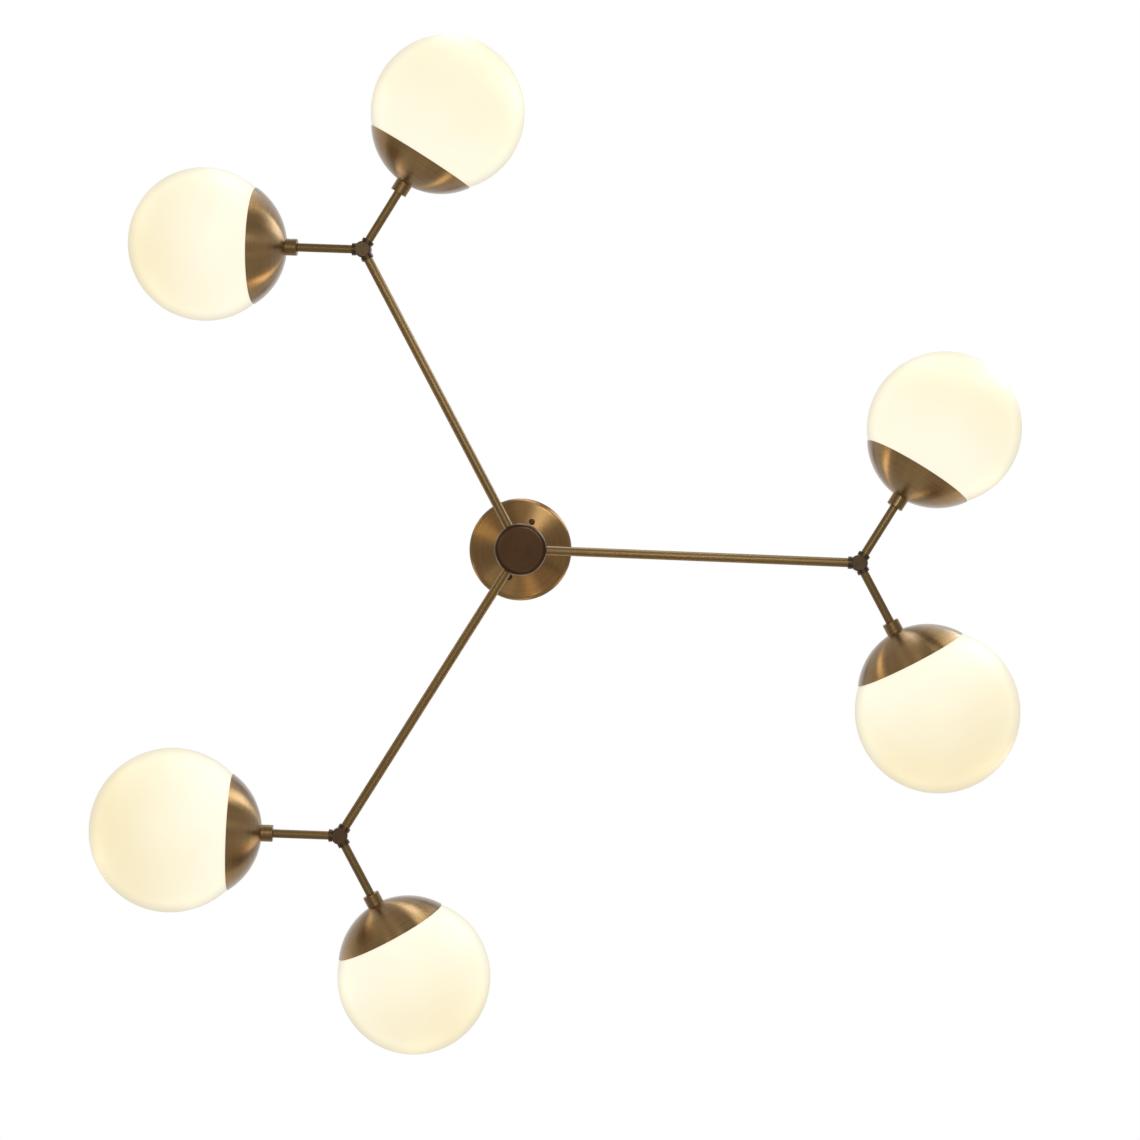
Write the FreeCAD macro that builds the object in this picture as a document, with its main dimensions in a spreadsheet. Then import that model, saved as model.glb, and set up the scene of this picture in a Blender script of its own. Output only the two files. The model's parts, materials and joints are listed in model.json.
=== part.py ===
"""Six-globe branching ceiling light: canopy, stem, hub, three arms and three Y heads."""
import FreeCAD, Part
import math
import os

from FreeCAD import Vector
import Sketcher

doc = FreeCAD.newDocument("branching_chandelier")
sizes = doc.addObject("Spreadsheet::Sheet", "Sizes")
worked = doc.addObject("Spreadsheet::Sheet", "Worked")
nodes = []


def write_row(sheet, row, alias, text, note):
    """One named value: its name, its cell and what it is."""
    sheet.set("A%d" % row, alias)
    sheet.set("B%d" % row, text)
    sheet.set("C%d" % row, note)
    sheet.setAlias("B%d" % row, alias)


# Driving dimensions, millimetres and degrees.
DRIVING = (
    ("arm_drop", "508", "ceiling down to the plane of the arms"),
    ("arm_reach", "332", "stem axis to the centre of a Y knuckle"),
    ("branch_angle", "60", "each branch away from its arm's line"),
    ("arm_bearing_angle", "-50", "arm 1 from the crossbar's line, about the stem"),
    ("arm_spread_angle", "120", "from each arm to the next"),
    ("twist_angle_a", "-4.5", "small turn of head 1 about its arm, as photographed"),
    ("twist_angle_b", "-1", "small turn of head 2"),
    ("twist_angle_c", "-2", "small turn of head 3"),
    ("fit_gap", "0.05", "radial running or threaded fit between metal pieces"),
    ("seat_gap", "0.3", "clearance of glass and loose pieces from their seats"),
    # Canopy and ceiling fittings.
    ("canopy_radius", "60", "outside of the spun canopy"),
    ("canopy_depth", "25", "ceiling to the canopy's flat face"),
    ("canopy_wall", "0.8", "spun sheet of the canopy"),
    ("canopy_shoulder", "6", "outer radius of the canopy's rounded shoulder"),
    ("bar_length", "106", "crossbar, end to end"),
    ("bar_width", "18", "crossbar"),
    ("bar_sheet", "1.6", "crossbar's steel"),
    ("bar_middle", "42", "length of the crossbar's lowered middle"),
    ("bar_joggle", "7", "run of each sloping part between middle and ends"),
    ("bar_offset", "14", "how far the middle lies below the ends"),
    ("box_screw_pitch", "88.9", "outlet box screw slots, centre to centre"),
    ("box_slot_radius", "2.4", "half width of a slot for an outlet box screw"),
    ("box_slot_length", "9.6", "such a slot, end to end"),
    ("canopy_screw_pitch", "69.85", "canopy screws, centre to centre"),
    ("canopy_screw_radius", "2", "shank of a canopy or ground screw"),
    ("screw_head_radius", "3.6", "pan head"),
    ("screw_head_height", "2.2", "pan head"),
    ("ground_place", "13", "ground screw from the stem axis, along the bar"),
    # Stem.
    ("nipple_radius", "4.8", "threaded tube, outside"),
    ("nipple_bore", "3.3", "threaded tube, inside radius"),
    ("nipple_stick", "1.5", "top nipple's end above the bar"),
    ("nipple_grip", "12", "length of nipple inside a stem tube"),
    ("lock_nut_flats", "15", "hexagon lock nut, across flats"),
    ("lock_nut_height", "4", "hexagon lock nut"),
    ("canopy_ring_radius", "11", "turned ring under the canopy"),
    ("canopy_ring_height", "8", "turned ring under the canopy"),
    ("stem_radius", "6.35", "stem tubes, outside"),
    ("coupling_radius", "8", "sleeve that joins the two stem tubes"),
    ("coupling_length", "24", "sleeve that joins the two stem tubes"),
    # Hub.
    ("hub_radius", "25.4", "outside of the hub"),
    ("hub_height", "38", "hub with its cover"),
    ("hub_wall", "2.4", "side of the hub"),
    ("hub_roof", "3", "top of the hub"),
    ("hub_edge", "4.2", "rounded edge of the cover"),
    ("cover_floor", "4", "flat of the cover"),
    ("cover_rim", "6", "full thickness of the cover at its edge"),
    ("cover_spigot", "4", "cover's threaded ring inside the hub"),
    ("cover_spigot_wall", "2", "cover's threaded ring"),
    ("block_flats", "24", "junction block, across flats"),
    ("block_height", "18", "junction block"),
    ("block_entry_depth", "4", "wire entries of the junction block"),
    # Arms and knuckles.
    ("arm_radius", "4.5", "arm tube, outside"),
    ("wire_bore", "3", "wire passage in arms, knuckles and branch rods, radius"),
    ("spigot_radius", "3.6", "threaded end of an arm or rod"),
    ("arm_thread", "7.5", "arm's threaded end inside the hub wall"),
    ("arm_nut_flats", "11", "hexagon nut on an arm's end, across flats"),
    ("arm_nut_height", "3", "hexagon nut on an arm's end"),
    ("knuckle_radius", "8", "knuckle's round middle"),
    ("knuckle_height", "12.6", "knuckle's round middle, top to bottom"),
    ("knuckle_bevel", "1", "bevel round the middle's two flat faces"),
    ("boss_radius", "5.3", "neck of a knuckle boss"),
    ("boss_reach", "10.6", "knuckle centre to the end of a boss"),
    ("boss_collar_radius", "6.1", "bead at the end of a boss"),
    ("boss_collar_length", "3.6", "bead at the end of a boss"),
    ("boss_socket", "6", "depth of the threaded socket in a boss"),
    ("knuckle_chamber", "4.3", "round hollow where the wires part, radius"),
    ("swivel_gap", "0.2", "arm's shoulder to the knuckle it carries"),
    # Branch rods, collars and caps.
    ("rod_radius", "4.15", "branch rod, outside"),
    ("collar_place", "65.2", "knuckle centre to the collar"),
    ("collar_length", "10.8", "collar, along the rod"),
    ("collar_radius", "8.25", "collar, outside"),
    ("collar_bevel", "0.4", "bevel on the collar's end"),
    ("cap_height", "30.5", "cap, crown to rim"),
    ("cap_rim_radius", "56.9", "outside of the cap at its rim"),
    ("cap_wall", "0.8", "spun sheet of the cap"),
    # Glass.
    ("globe_radius", "75", "four globes, outside"),
    ("large_globe_radius", "80", "two larger globes, outside"),
    ("glass_wall", "3", "opal glass"),
    ("mouth_radius", "18", "round mouth of a globe"),
    ("bush_flange_radius", "21", "flange of the threaded bush in a globe's mouth"),
    ("bush_flange", "2", "thickness of that flange"),
    ("bush_length", "14", "threaded bush, end to end"),
    # Lampholder and bulb.
    ("lampholder_radius", "14", "lampholder, outside of its thread"),
    ("lampholder_length", "31", "lampholder"),
    ("lampholder_foot", "3.6", "height of the lampholder's bevelled foot"),
    ("lampholder_seat", "8.1", "lampholder's foot on the cap, radius"),
    ("rod_grip", "7", "rod end inside the lampholder"),
    ("bulb_base_radius", "5.85", "screw base of a bulb"),
    ("bulb_base_length", "20", "screw base of a bulb"),
    ("bulb_tip_radius", "2", "centre contact"),
    ("bulb_neck_radius", "9", "lower end of a bulb's body"),
    ("bulb_radius", "11", "tubular body of a bulb"),
    ("bulb_length", "66", "bulb, contact to crown"),
    # Wiring.
    ("lead_radius", "1.2", "insulated lead"),
    ("lead_offset", "1.35", "each of two leads from the middle of its tube"),
    ("lead_bend", "8", "bend of a lead inside a knuckle"),
    ("supply_bend", "5", "bend of a supply lead above the nipple"),
    ("supply_dip", "1", "start of that bend below the nipple's end"),
    ("supply_end", "5", "supply lead's end below the top of the junction block"),
    ("ground_lead_gap", "0.1", "ground lead below the crossbar"),
    ("supply_run", "18", "stem axis to a wire nut's mouth"),
    ("wire_nut_radius", "5.5", "wire nut, widest"),
    ("wire_nut_length", "20", "wire nut"),
)

# Values that follow from the driving ones.
WORKED = (
    ("cap_crown", "=Sizes.collar_place + Sizes.collar_length", "cap's crown"),
    ("cap_rim", "=cap_crown + Sizes.cap_height", "cap's rim plane"),
    ("cap_sphere", "=(Sizes.cap_rim_radius ^ 2 + Sizes.cap_height ^ 2) / (2 * Sizes.cap_height)",
     "radius of the cap's outside"),
    ("cap_centre", "=cap_crown + cap_sphere", "centre of the cap's sphere"),
    ("cap_inner", "=cap_sphere - Sizes.cap_wall", "radius of the cap's inside"),
    ("cap_seat_radius", "=Sizes.collar_radius + Sizes.seat_gap", "pressed flat under the collar"),
    ("cap_seat", "=cap_centre - sqrt(cap_sphere ^ 2 - cap_seat_radius ^ 2)", "that flat's place"),
    ("cap_seat_inside", "=cap_seat + Sizes.cap_wall", "the flat's inner face"),
    ("cap_mouth", "=sqrt(cap_inner ^ 2 - (cap_centre - cap_rim) ^ 2)", "inside of the rim"),
    ("bush_floor", "=cap_centre - sqrt(cap_inner ^ 2 - Sizes.bush_flange_radius ^ 2)",
     "inside of the cap under a bush's flange"),
    ("mouth_seat", "=bush_floor + Sizes.bush_flange + Sizes.seat_gap", "lowest place of a mouth"),
    ("glass_at_rim", "=cap_mouth - Sizes.seat_gap", "globe's radius where it meets the rim"),
    ("rod_hole", "=Sizes.rod_radius + Sizes.fit_gap", "hole for a branch rod"),
    ("spigot_hole", "=Sizes.spigot_radius + Sizes.fit_gap", "hole for a threaded end"),
    ("nipple_hole", "=Sizes.nipple_radius + Sizes.fit_gap", "hole for a nipple"),
    ("bush_bore", "=Sizes.lampholder_radius + Sizes.fit_gap", "thread inside a globe's bush"),
    ("lamp_end", "=cap_seat_inside + Sizes.lampholder_length", "lampholder's mouth"),
    ("rod_end", "=cap_seat_inside + Sizes.rod_grip", "branch rod's far end"),
    ("bulb_start", "=lamp_end + Sizes.seat_gap - Sizes.bulb_base_length", "bulb's contact"),
    ("hub_top", "=-Sizes.arm_drop + Sizes.hub_height / 2", "top of the hub"),
    ("hub_foot", "=-Sizes.arm_drop - Sizes.hub_height / 2", "underside of the cover"),
    ("hub_inside", "=Sizes.hub_radius - Sizes.hub_wall", "inner radius of the hub"),
    ("hub_joint", "=hub_foot + Sizes.cover_rim", "seam between hub and cover"),
    ("bar_top", "=-Sizes.bar_offset", "top of the bar's middle"),
    ("bar_under", "=bar_top - Sizes.bar_sheet", "underside of the bar's middle"),
    ("stem_top", "=-Sizes.canopy_depth - Sizes.canopy_ring_height", "top of the stem tubes"),
    ("stem_middle", "=(stem_top + hub_top) / 2", "where the two stem tubes meet"),
    ("stem_bore", "=nipple_hole", "inside radius of the stem tubes"),
    ("hub_nut_under", "=hub_top - Sizes.hub_roof - Sizes.lock_nut_height", "under the hub's nut"),
    ("block_top", "=hub_nut_under - Sizes.seat_gap", "top of the junction block"),
    ("block_hole", "=Sizes.lead_offset + Sizes.lead_radius + Sizes.seat_gap", "wire entry"),
)


def fill_sheets():
    """Both sheets: plain driving numbers first, then the formulas."""
    for row, (alias, text, note) in enumerate(DRIVING, 1):
        write_row(sizes, row, alias, text, note)
    doc.recompute()
    for row, (alias, text, note) in enumerate(WORKED, 1):
        write_row(worked, row, alias, text, note)
    doc.recompute()


def value(expression):
    """A formula's number in millimetres."""
    result = sizes.evalExpression(str(expression))
    return float(getattr(result, "Value", result))


def bind(thing, name, expression):
    """Ties a property to a formula."""
    thing.setExpression(name, str(expression))


def origin_part(body, role):
    """A plane or axis of a body's own origin."""
    return next(item for item in body.Origin.OriginFeatures if item.Role == role)


def new_frame(name, formula):
    """A named place that pieces are set to."""
    frame = doc.addObject("App::Placement", name)
    bind(frame, "Placement", formula)
    doc.recompute([frame])
    return frame


def set_to(piece, frame):
    """Puts a piece in a named place."""
    bind(piece, "Placement", frame.Name + ".Placement")


def node(piece, label):
    """Marks a piece as one of the light's sub-parts."""
    piece.Label = label
    nodes.append(piece)
    return piece


def group(label, pieces):
    """Alike pieces that share one sub-part, each still its own solid."""
    bundle = doc.addObject("Part::Compound", label)
    bundle.Links = pieces
    return node(bundle, label)


# ---- sketches ----

def plane_sketch(body, name, role, height="0"):
    """An empty sketch on one of the body's planes, raised by a formula."""
    sketch = body.newObject("Sketcher::SketchObject", name)
    sketch.AttachmentSupport = (origin_part(body, role), "")
    sketch.MapMode = "FlatFace"
    bind(sketch, "AttachmentOffset.Base.z", height)
    return sketch


def pin_point(sketch, geometry, end, across, along):
    """Fixes one end of a line or arc at two formulas."""
    for kind, formula in (("DistanceX", across), ("DistanceY", along)):
        index = sketch.addConstraint(
            Sketcher.Constraint(kind, -1, 1, geometry, end, value(formula)))
        bind(sketch, "Constraints[%d]" % index, formula)


def arc_between(start, end, radius, side):
    """A minor arc from start to end; side 1 turns left, -1 turns right."""
    half = (end - start) * 0.5
    reach = math.sqrt(max(radius ** 2 - half.Length ** 2, 0.0))
    normal = Vector(-half.y, half.x, 0).normalize()
    centre = start + half + normal * (reach * side)
    first, last = (start, end) if side > 0 else (end, start)
    angles = [math.atan2(point.y - centre.y, point.x - centre.x) for point in (first, last)]
    circle = Part.Circle(centre, Vector(0, 0, 1), radius)
    return Part.ArcOfCircle(circle, angles[0], angles[1])


def closed_outline(sketch, corners):
    """Joins corners (x, y[, radius, side]); a radius bends the edge to the next corner."""
    points = [Vector(value(corner[0]), value(corner[1]), 0) for corner in corners]
    ends = []
    for number, corner in enumerate(corners):
        start = points[number]
        end = points[(number + 1) % len(points)]
        if len(corner) == 4:
            edge = arc_between(start, end, value(corner[2]), corner[3])
            order = (1, 2) if corner[3] > 0 else (2, 1)
        else:
            edge = Part.LineSegment(start, end)
            order = (1, 2)
        ends.append((sketch.addGeometry(edge, False), order))
    for number, corner in enumerate(corners):
        edge, order = ends[number]
        after, after_order = ends[(number + 1) % len(ends)]
        pin_point(sketch, edge, order[0], corner[0], corner[1])
        sketch.addConstraint(
            Sketcher.Constraint("Coincident", edge, order[1], after, after_order[0]))
        if len(corner) == 4:
            index = sketch.addConstraint(Sketcher.Constraint("Radius", edge, value(corner[2])))
            bind(sketch, "Constraints[%d]" % index, corner[2])


def circle_at(sketch, across, along, radius):
    """A circle with its centre and radius tied to formulas."""
    centre = Vector(value(across), value(along), 0)
    index = sketch.addGeometry(Part.Circle(centre, Vector(0, 0, 1), value(radius)), False)
    pin_point(sketch, index, 3, across, along)
    number = sketch.addConstraint(Sketcher.Constraint("Radius", index, value(radius)))
    bind(sketch, "Constraints[%d]" % number, radius)


# ---- solids ----

def turned(name, corners, frame):
    """A solid of revolution about its frame's Z from corners (radius, height, ...)."""
    body = doc.addObject("PartDesign::Body", name)
    profile = plane_sketch(body, name + "_profile", "XZ_Plane")
    closed_outline(profile, corners)
    spin = body.newObject("PartDesign::Revolution", name + "_turning")
    spin.Profile = profile
    spin.ReferenceAxis = (profile, ["V_Axis"])
    spin.Angle = 360
    set_to(body, frame)
    doc.recompute()
    return body


def tube(name, inner, outer, low, high, frame):
    """A plain tube or ring."""
    return turned(name, [(inner, low), (outer, low), (outer, high), (inner, high)], frame)


def cut_through(body, name, sketch, upward, length=None):
    """A pocket from a sketch, checked to have taken material away."""
    before = body.Shape.Volume
    pocket = body.newObject("PartDesign::Pocket", name)
    pocket.Profile = sketch
    pocket.Reversed = upward
    if length is None:
        pocket.Type = "ThroughAll"
    else:
        bind(pocket, "Length", length)
    doc.recompute()
    if body.Shape.Volume > before - 1e-6:
        raise RuntimeError(name + " removed nothing")
    return pocket


def repeat_round(body, feature, count, role="Z_Axis"):
    """Repeats a feature evenly round one of the body's axes."""
    pattern = body.newObject("PartDesign::PolarPattern", feature.Name + "_round")
    pattern.Originals = [feature]
    pattern.Axis = (origin_part(body, role), [""])
    pattern.Angle = 360
    pattern.Occurrences = count
    body.Tip = pattern
    doc.recompute()


def hexagon_nut(name, flats, hole, low, height, frame):
    """A hexagon nut with bevelled corners, its axis along the frame's Z."""
    blank = doc.addObject("Part::Prism", name + "_blank")
    blank.Polygon = 6
    bind(blank, "Circumradius", "(%s) / sqrt(3)" % flats)
    bind(blank, "Height", height)
    bind(blank, "Placement.Base.z", low)
    dome = doc.addObject("Part::Sphere", name + "_bevel")
    bind(dome, "Radius", "sqrt(((%s) * 0.54) ^ 2 + ((%s) / 2) ^ 2)" % (flats, height))
    bind(dome, "Placement.Base.z", "(%s) + (%s) / 2" % (low, height))
    bevelled = doc.addObject("Part::Common", name + "_bevelled")
    bevelled.Base = blank
    bevelled.Tool = dome
    bore = cylinder(name + "_bore", hole, "(%s) * 3" % height, "(%s) - (%s)" % (low, height))
    nut = doc.addObject("Part::Cut", name)
    nut.Base = bevelled
    nut.Tool = bore
    set_to(nut, frame)
    doc.recompute()
    return nut


def cylinder(name, radius, height, low="0"):
    """A Part cylinder standing on a formula's height."""
    solid = doc.addObject("Part::Cylinder", name)
    bind(solid, "Radius", radius)
    bind(solid, "Height", height)
    bind(solid, "Placement.Base.z", low)
    return solid


def pan_screw(name, length, frame):
    """A pan-head screw with a driver slot: head below Z = 0, shank above it."""
    head = "Sizes.screw_head_radius"
    tall = "Sizes.screw_head_height"
    shank = "Sizes.canopy_screw_radius"
    body = turned(name, [
        ("0", "-%s" % tall),
        ("%s * 0.6" % head, "-%s" % tall, "%s * 2" % tall, 1),
        (head, "0"),
        (shank, "0"),
        (shank, length),
        ("0", length),
    ], frame)
    slot = plane_sketch(body, name + "_slot", "XY_Plane", "-%s" % tall)
    closed_outline(slot, [
        ("-%s * 1.1" % head, "-0.45"),
        ("%s * 1.1" % head, "-0.45"),
        ("%s * 1.1" % head, "0.45"),
        ("-%s * 1.1" % head, "0.45"),
    ])
    cut_through(body, name + "_driver", slot, True, "%s * 0.45" % tall)
    return body


def lead(path, radius):
    """An insulated lead swept along a path of runs and arcs."""
    edges = path.Edges
    start = edges[0].valueAt(edges[0].FirstParameter)
    heading = edges[0].tangentAt(edges[0].FirstParameter)
    ring = Part.Wire(Part.makeCircle(radius, start, heading))
    shell = Part.BRepOffsetAPI.MakePipeShell(path)
    shell.add(ring)
    shell.build()
    shell.makeSolid()
    return shell.shape()


def rounded_path(points, bend):
    """Straight runs between points, with one arc of a given radius at each turn."""
    edges = []
    last = points[0]
    for before, corner, after in zip(points, points[1:], points[2:]):
        into = (corner - before).normalize()
        out = (after - corner).normalize()
        turn = into.getAngle(out)
        trim = bend * math.tan(turn / 2)
        first = corner - into * trim
        second = corner + out * trim
        inward = (out - into).normalize()
        middle = corner + inward * (bend / math.cos(turn / 2) - bend)
        edges.append(Part.LineSegment(last, first).toShape())
        edges.append(Part.Arc(first, middle, second).toShape())
        last = second
    edges.append(Part.LineSegment(last, points[-1]).toShape())
    return Part.Wire(edges)


# ---- ceiling fittings ----

def crossbar(frame):
    """Steel strap: ends against the ceiling, middle lowered to leave room for the wiring."""
    body = doc.addObject("PartDesign::Body", "Crossbar")
    profile = plane_sketch(body, "Crossbar_profile", "XZ_Plane")
    far = "Sizes.bar_length / 2"
    near = "Sizes.bar_middle / 2"
    rise = "Sizes.bar_middle / 2 + Sizes.bar_joggle"
    sheet = "Sizes.bar_sheet"
    closed_outline(profile, [
        ("-(%s)" % far, "0"),
        ("-(%s)" % far, "-%s" % sheet),
        ("-(%s) - %s / 2" % (rise, sheet), "-%s" % sheet),
        ("-(%s) - %s / 2" % (near, sheet), "Worked.bar_under"),
        ("%s + %s / 2" % (near, sheet), "Worked.bar_under"),
        ("%s + %s / 2" % (rise, sheet), "-%s" % sheet),
        (far, "-%s" % sheet),
        (far, "0"),
        ("%s - %s / 2" % (rise, sheet), "0"),
        ("%s - %s / 2" % (near, sheet), "Worked.bar_top"),
        ("-(%s) + %s / 2" % (near, sheet), "Worked.bar_top"),
        ("-(%s) + %s / 2" % (rise, sheet), "0"),
    ])
    strap = body.newObject("PartDesign::Pad", "Crossbar_strap")
    strap.Profile = profile
    strap.Midplane = True
    bind(strap, "Length", "Sizes.bar_width")
    doc.recompute()
    holes = plane_sketch(body, "Crossbar_holes", "XY_Plane", "5")
    tapped = "Sizes.canopy_screw_radius + Sizes.fit_gap"
    half = "Sizes.box_slot_radius"
    run = "(Sizes.box_slot_length / 2 - Sizes.box_slot_radius)"
    for side in ("", "-"):
        circle_at(holes, side + "Sizes.canopy_screw_pitch / 2", "0", tapped)
        middle = side + "Sizes.box_screw_pitch / 2"
        end = "Sizes.box_slot_length / 2"
        closed_outline(holes, [
            ("%s - %s" % (middle, run), "-" + half),
            ("%s + %s" % (middle, run), "-" + half, half, 1),
            ("%s + %s" % (middle, end), "0", half, 1),
            ("%s + %s" % (middle, run), half),
            ("%s - %s" % (middle, run), half, half, 1),
            ("%s - %s" % (middle, end), "0", half, 1),
        ])
    circle_at(holes, "0", "0", "Worked.nipple_hole")
    circle_at(holes, "Sizes.ground_place", "0", tapped)
    cut_through(body, "Crossbar_drilling", holes, False)
    set_to(body, frame)
    return node(body, "crossbar")


def canopy(frame):
    """Spun dish with a flat face, a rounded shoulder and a straight side up to the ceiling."""
    out = "Sizes.canopy_radius"
    wall = "Sizes.canopy_wall"
    face = "-Sizes.canopy_depth"
    bend = "Sizes.canopy_shoulder"
    inner_bend = "(%s - %s)" % (bend, wall)
    body = turned("Canopy", [
        ("Worked.nipple_hole", face),
        ("%s - %s" % (out, bend), face, bend, 1),
        (out, "%s + %s" % (face, bend)),
        (out, "0"),
        ("%s - %s" % (out, wall), "0"),
        ("%s - %s" % (out, wall), "%s + %s" % (face, bend), inner_bend, -1),
        ("%s - %s" % (out, bend), "%s + %s" % (face, wall)),
        ("Worked.nipple_hole", "%s + %s" % (face, wall)),
    ], frame)
    hole = plane_sketch(body, "Canopy_hole", "XY_Plane", "%s - 1" % face)
    circle_at(hole, "Sizes.canopy_screw_pitch / 2", "0", "Sizes.canopy_screw_radius + Sizes.seat_gap")
    drilled = cut_through(body, "Canopy_drilling", hole, True, "Sizes.canopy_wall + 2")
    repeat_round(body, drilled, 2)
    return node(body, "canopy")


def ceiling_screws():
    """Two canopy screws up into the bar's ends, and the ground screw in its middle."""
    pair = []
    for number, side in enumerate(("", "-"), 1):
        frame = new_frame(
            "Canopy_screw_place_%d" % number,
            "placement(vector(%sSizes.canopy_screw_pitch / 2; 0; -Sizes.canopy_depth);"
            " rotation(vector(0; 0; 1); 35))" % side)
        pair.append(pan_screw("Canopy_screw_%d" % number, "Sizes.canopy_depth - Sizes.seat_gap",
                              frame))
    group("canopy_screws", pair)
    frame = new_frame(
        "Ground_screw_place",
        "placement(vector(Sizes.ground_place; 0; Worked.bar_under"
        " - 2 * Sizes.lead_radius - 0.2); rotation(vector(0; 0; 1); 0))")
    length = "2 * Sizes.lead_radius + 0.2 + Sizes.bar_sheet + 2"
    node(pan_screw("Ground_screw", length, frame), "ground_screw")


# ---- stem and hub ----

def stem(ceiling):
    """Two nipples, two tubes, their sleeve, the ring under the canopy and two lock nuts."""
    bore = "Sizes.nipple_bore"
    thread = "Sizes.nipple_radius"
    grip = "Sizes.nipple_grip"
    node(tube("Top_nipple", bore, thread, "Worked.stem_top - " + grip,
              "Worked.bar_top + Sizes.nipple_stick", ceiling), "top_nipple")
    node(tube("Bottom_nipple", bore, thread, "Worked.hub_nut_under - 2",
              "Worked.hub_top + " + grip, ceiling), "bottom_nipple")
    ring = "Sizes.canopy_ring_radius"
    ring_top = "-Sizes.canopy_depth"
    node(turned("Canopy_ring", [
        ("Worked.nipple_hole", "Worked.stem_top"),
        (ring + " - 2", "Worked.stem_top", "2", 1),
        (ring, "Worked.stem_top + 2"),
        (ring, ring_top),
        ("Worked.nipple_hole", ring_top),
    ], ceiling), "canopy_ring")
    inside = "Worked.stem_bore"
    outside = "Sizes.stem_radius"
    node(tube("Stem_upper", inside, outside, "Worked.stem_middle", "Worked.stem_top", ceiling),
         "stem_upper")
    node(tube("Stem_lower", inside, outside, "Worked.hub_top", "Worked.stem_middle", ceiling),
         "stem_lower")
    sleeve = "Sizes.coupling_radius"
    low = "Worked.stem_middle - Sizes.coupling_length / 2"
    high = "Worked.stem_middle + Sizes.coupling_length / 2"
    slip = "Sizes.stem_radius + Sizes.fit_gap"
    node(turned("Stem_coupling", [
        (slip, low),
        (sleeve + " - 0.8", low),
        (sleeve, low + " + 0.8"),
        (sleeve, high + " - 0.8"),
        (sleeve + " - 0.8", high),
        (slip, high),
    ], ceiling), "stem_coupling")
    flats = "Sizes.lock_nut_flats"
    tall = "Sizes.lock_nut_height"
    upper = hexagon_nut("Bar_nut", flats, "Worked.nipple_hole", "Worked.bar_under - " + tall,
                        tall, ceiling)
    lower = hexagon_nut("Hub_nut", flats, "Worked.nipple_hole", "Worked.hub_nut_under",
                        tall, ceiling)
    group("lock_nuts", [upper, lower])


def hub(arms):
    """Round cup that the arms screw into, closed below by a cover with a rounded edge."""
    out = "Sizes.hub_radius"
    inside = "Worked.hub_inside"
    top = "Worked.hub_top"
    seam = "Worked.hub_joint"
    body = turned("Hub_body", [
        ("Worked.nipple_hole", top + " - Sizes.hub_roof"),
        (inside, top + " - Sizes.hub_roof"),
        (inside, seam),
        (out, seam),
        (out, top + " - 2", "2", 1),
        (out + " - 2", top),
        ("Worked.nipple_hole", top),
    ], arms)
    side = plane_sketch(body, "Hub_side_hole", "YZ_Plane", "Worked.hub_inside - 2")
    circle_at(side, "0", "-Sizes.arm_drop", "Worked.spigot_hole")
    drilled = cut_through(body, "Hub_side_drilling", side, True, "Sizes.hub_wall + 6")
    repeat_round(body, drilled, 3)
    node(body, "hub_body")
    foot = "Worked.hub_foot"
    ring = "Worked.hub_inside - Sizes.fit_gap"
    ring_in = ring + " - Sizes.cover_spigot_wall"
    node(turned("Hub_cover", [
        ("0", foot),
        (out + " - Sizes.hub_edge", foot, "Sizes.hub_edge", 1),
        (out, foot + " + Sizes.hub_edge"),
        (out, seam),
        (ring, seam),
        (ring, seam + " + Sizes.cover_spigot"),
        (ring_in, seam + " + Sizes.cover_spigot"),
        (ring_in, foot + " + Sizes.cover_floor"),
        ("0", foot + " + Sizes.cover_floor"),
    ], arms), "hub_cover")


def junction_block(arms):
    """Six-sided wire block on the bottom nipple's end, with one entry to each arm."""
    flats = "Sizes.block_flats"
    block = doc.addObject("Part::Prism", "Block_blank")
    block.Polygon = 6
    bind(block, "Circumradius", flats + " / sqrt(3)")
    bind(block, "Height", "Sizes.block_height")
    bind(block, "Placement", "placement(vector(0; 0; Worked.block_top - Sizes.block_height);"
         " rotation(vector(0; 0; 1); 30))")
    cuts = [cylinder("Block_collar", "Worked.nipple_hole", "4", "Worked.block_top - 2"),
            cylinder("Block_supply_entry", "Worked.block_hole", "8", "Worked.block_top - 6")]
    for number in range(3):
        entry = cylinder("Block_entry_%d" % (number + 1), "Worked.block_hole", "20")
        place = ("placement(vector(0; 0; -Sizes.arm_drop);"
                 " rotation(vector(0; 0; 1); %d * Sizes.arm_spread_angle))"
                 " * placement(vector(Sizes.block_flats / 2 - Sizes.block_entry_depth; 0; 0);"
                 " rotation(vector(0; 1; 0); 90))" % number)
        bind(entry, "Placement", place)
        cuts.append(entry)
    drills = doc.addObject("Part::MultiFuse", "Block_drills")
    drills.Shapes = cuts
    drilled = doc.addObject("Part::Cut", "Block")
    drilled.Base = block
    drilled.Tool = drills
    set_to(drilled, arms)
    node(drilled, "junction_block")


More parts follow.
